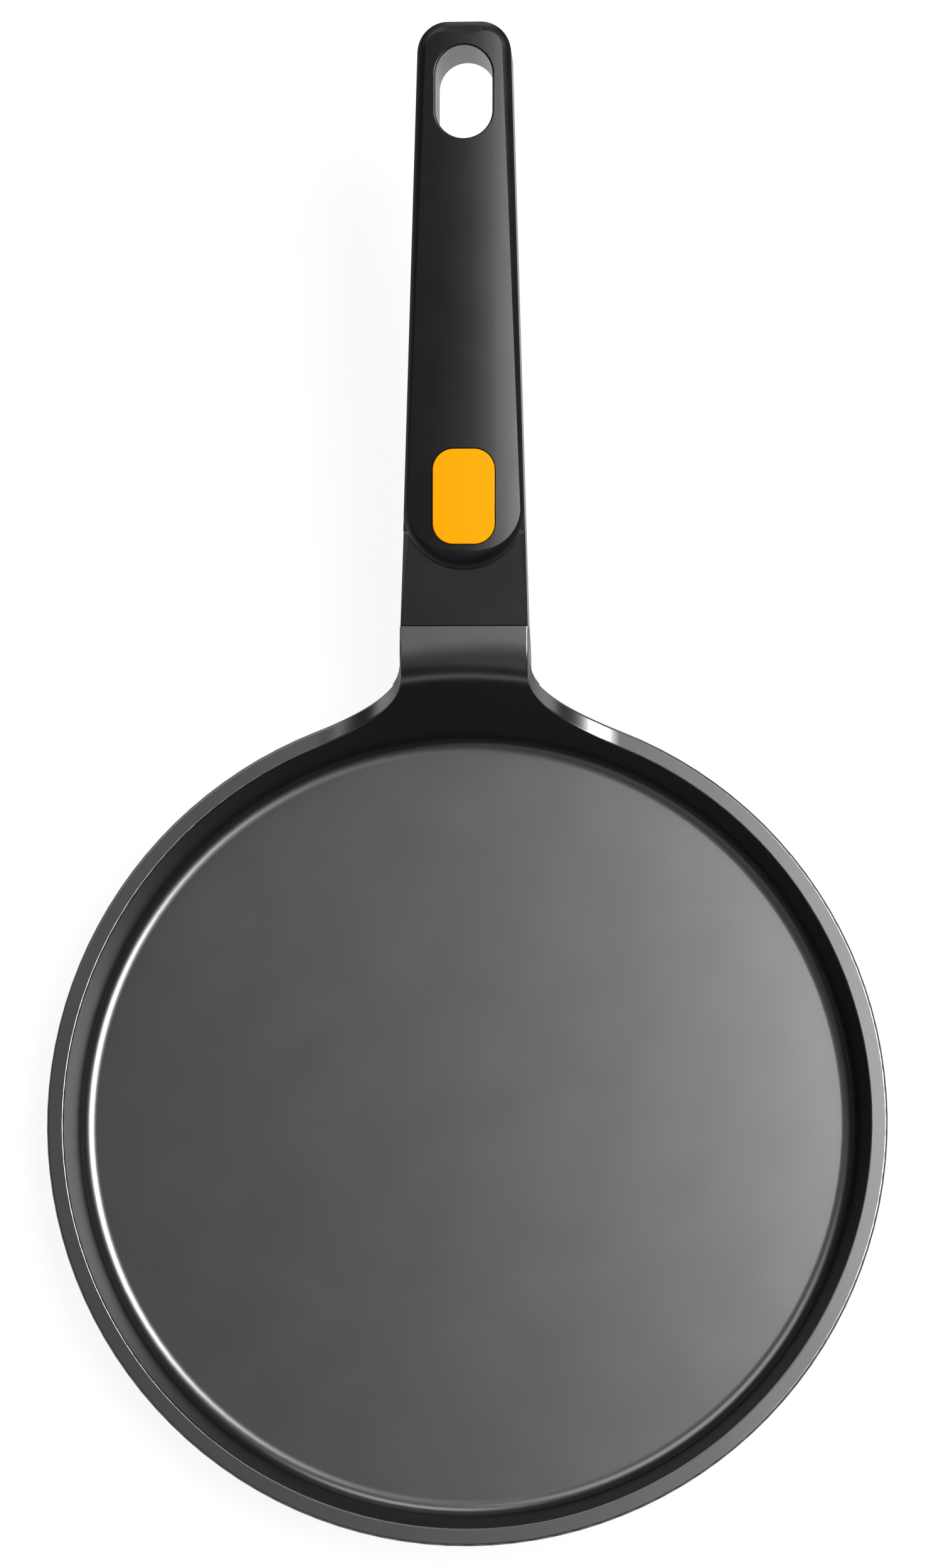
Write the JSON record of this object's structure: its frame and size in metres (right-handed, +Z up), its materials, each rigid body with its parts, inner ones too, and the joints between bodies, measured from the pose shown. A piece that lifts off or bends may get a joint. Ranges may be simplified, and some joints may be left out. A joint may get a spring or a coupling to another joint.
{
  "type": "crepe pan",
  "caption": "Low round cast pan with a raised neck, a fixed straight handle with a hanging slot and a soft thumb inlay, and a perforated steel base.",
  "frame": {"origin": "centre of the underside of the dish, on the surface that the pan stands on", "axes": "+Z up out of the dish, +Y along the handle, +X to the right seen from above with the handle pointing away"},
  "size_m": [0.2396, 0.4267, 0.0821],
  "materials": {
    "pan_coating": "cast aluminium under a smooth dark grey non-stick coating, satin",
    "base_steel": "ferritic steel disc with concentric turning marks",
    "handle_plastic": "black heat-resistant moulding with a fine satin grain",
    "pad_rubber": "orange silicone, matte",
    "fastener_steel": "plain zinc-plated steel"
  },
  "bodies": {
    "root": {"pan_body": "pan_coating", "induction_base": "base_steel", "handle_grip": "handle_plastic", "thumb_pad": "pad_rubber", "handle_screw": "fastener_steel", "lock_washer": "fastener_steel", "threaded_insert": "fastener_steel"}
  },
  "joints": []
}
